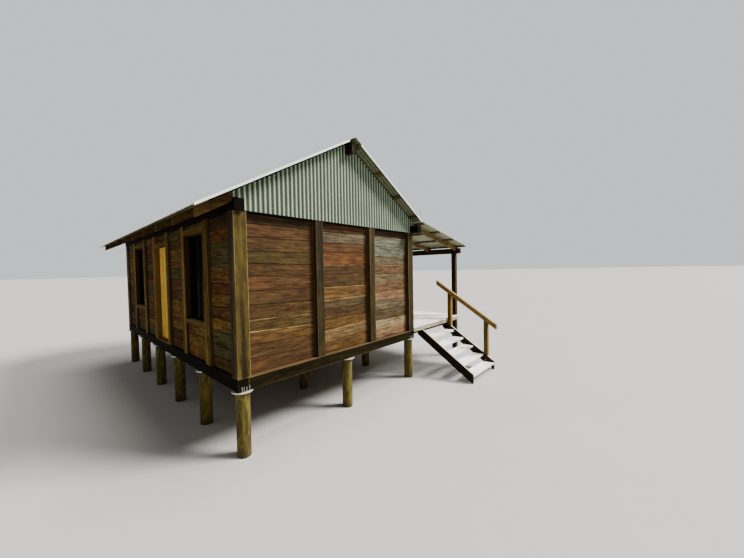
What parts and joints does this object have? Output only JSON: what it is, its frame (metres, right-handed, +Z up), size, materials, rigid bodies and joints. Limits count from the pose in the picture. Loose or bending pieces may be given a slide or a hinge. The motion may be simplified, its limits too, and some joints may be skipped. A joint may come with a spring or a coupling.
{
  "type": "stilt house",
  "caption": "Slab cabin on round timber stumps with a corrugated gable roof, a verandah along one long side, a deck and an open stair with a handrail.",
  "frame": {"origin": "centre of the bounding box on the level ground the stumps stand on", "axes": "+X runs across the gable from the door wall to the verandah, +Y along the eaves away from the stair, +Z up"},
  "size_m": [7.1986, 8.562, 4.875],
  "materials": {
    "stump": "rough round timber",
    "galvanised": "dull zinc",
    "bearer": "weathered",
    "pine": "sawn",
    "floor": "planed",
    "treated": "treated, weathered",
    "hardwood": "sawn, weathered",
    "slab": "rough sawn, weathered",
    "bead": "sawn",
    "dark_beam": "dark stain, weathered",
    "dark_frame": "dark",
    "glass": "clear",
    "door": "fresh pine",
    "fittings": "brushed",
    "rafter": "sawn",
    "roof_steel": "pale, weathered",
    "gable_steel": "pale green",
    "flashing": "pale",
    "deck": "silvered",
    "rail": "oiled pine"
  },
  "bodies": {
    "root": {"stumps": "stump", "ant_caps": "galvanised", "side_sills": "bearer", "end_sills": "bearer", "floor_bearer": "bearer", "floor_joists": "pine", "floor_boards": "floor", "corner_posts": "treated", "gable_posts": "hardwood", "side_posts": "treated", "gable_slabs": "slab", "side_slabs_left": "slab", "side_slabs_right": "slab", "slab_stops": "bead", "side_plates": "dark_beam", "end_plates": "dark_beam", "window_boards": "treated", "window_frames": "dark_frame", "window_glass": "glass", "door_boards": "treated", "door_hinges": "fittings", "verandah_door": "door", "rafters": "rafter", "ridge_beam": "dark_beam", "roof_battens": "rafter", "roof_sheet_left": "roof_steel", "roof_sheet_right": "roof_steel", "ridge_cap": "roof_steel", "gable_sheets": "gable_steel", "barge_flashings": "flashing", "verandah_posts": "dark_beam", "verandah_beam": "dark_beam", "verandah_rafters": "rafter", "verandah_battens": "rafter", "verandah_sheet": "roof_steel", "deck_bearers": "dark_beam", "deck_joists": "deck", "deck_boards": "deck", "stair_stringers": "dark_beam", "stair_treads": "deck", "handrail": "rail", "handrail_posts": "rail"},
    "door": {"door_leaf": "door", "door_fittings": "fittings"}
  },
  "joints": [
    {"name": "door_hinge", "type": "hinge", "parent": "root", "child": "door", "pos_m": [-2.91119, 0.8785, 1.138], "axis": [0, 0, 1], "range_deg": [0, 90]}
  ]
}
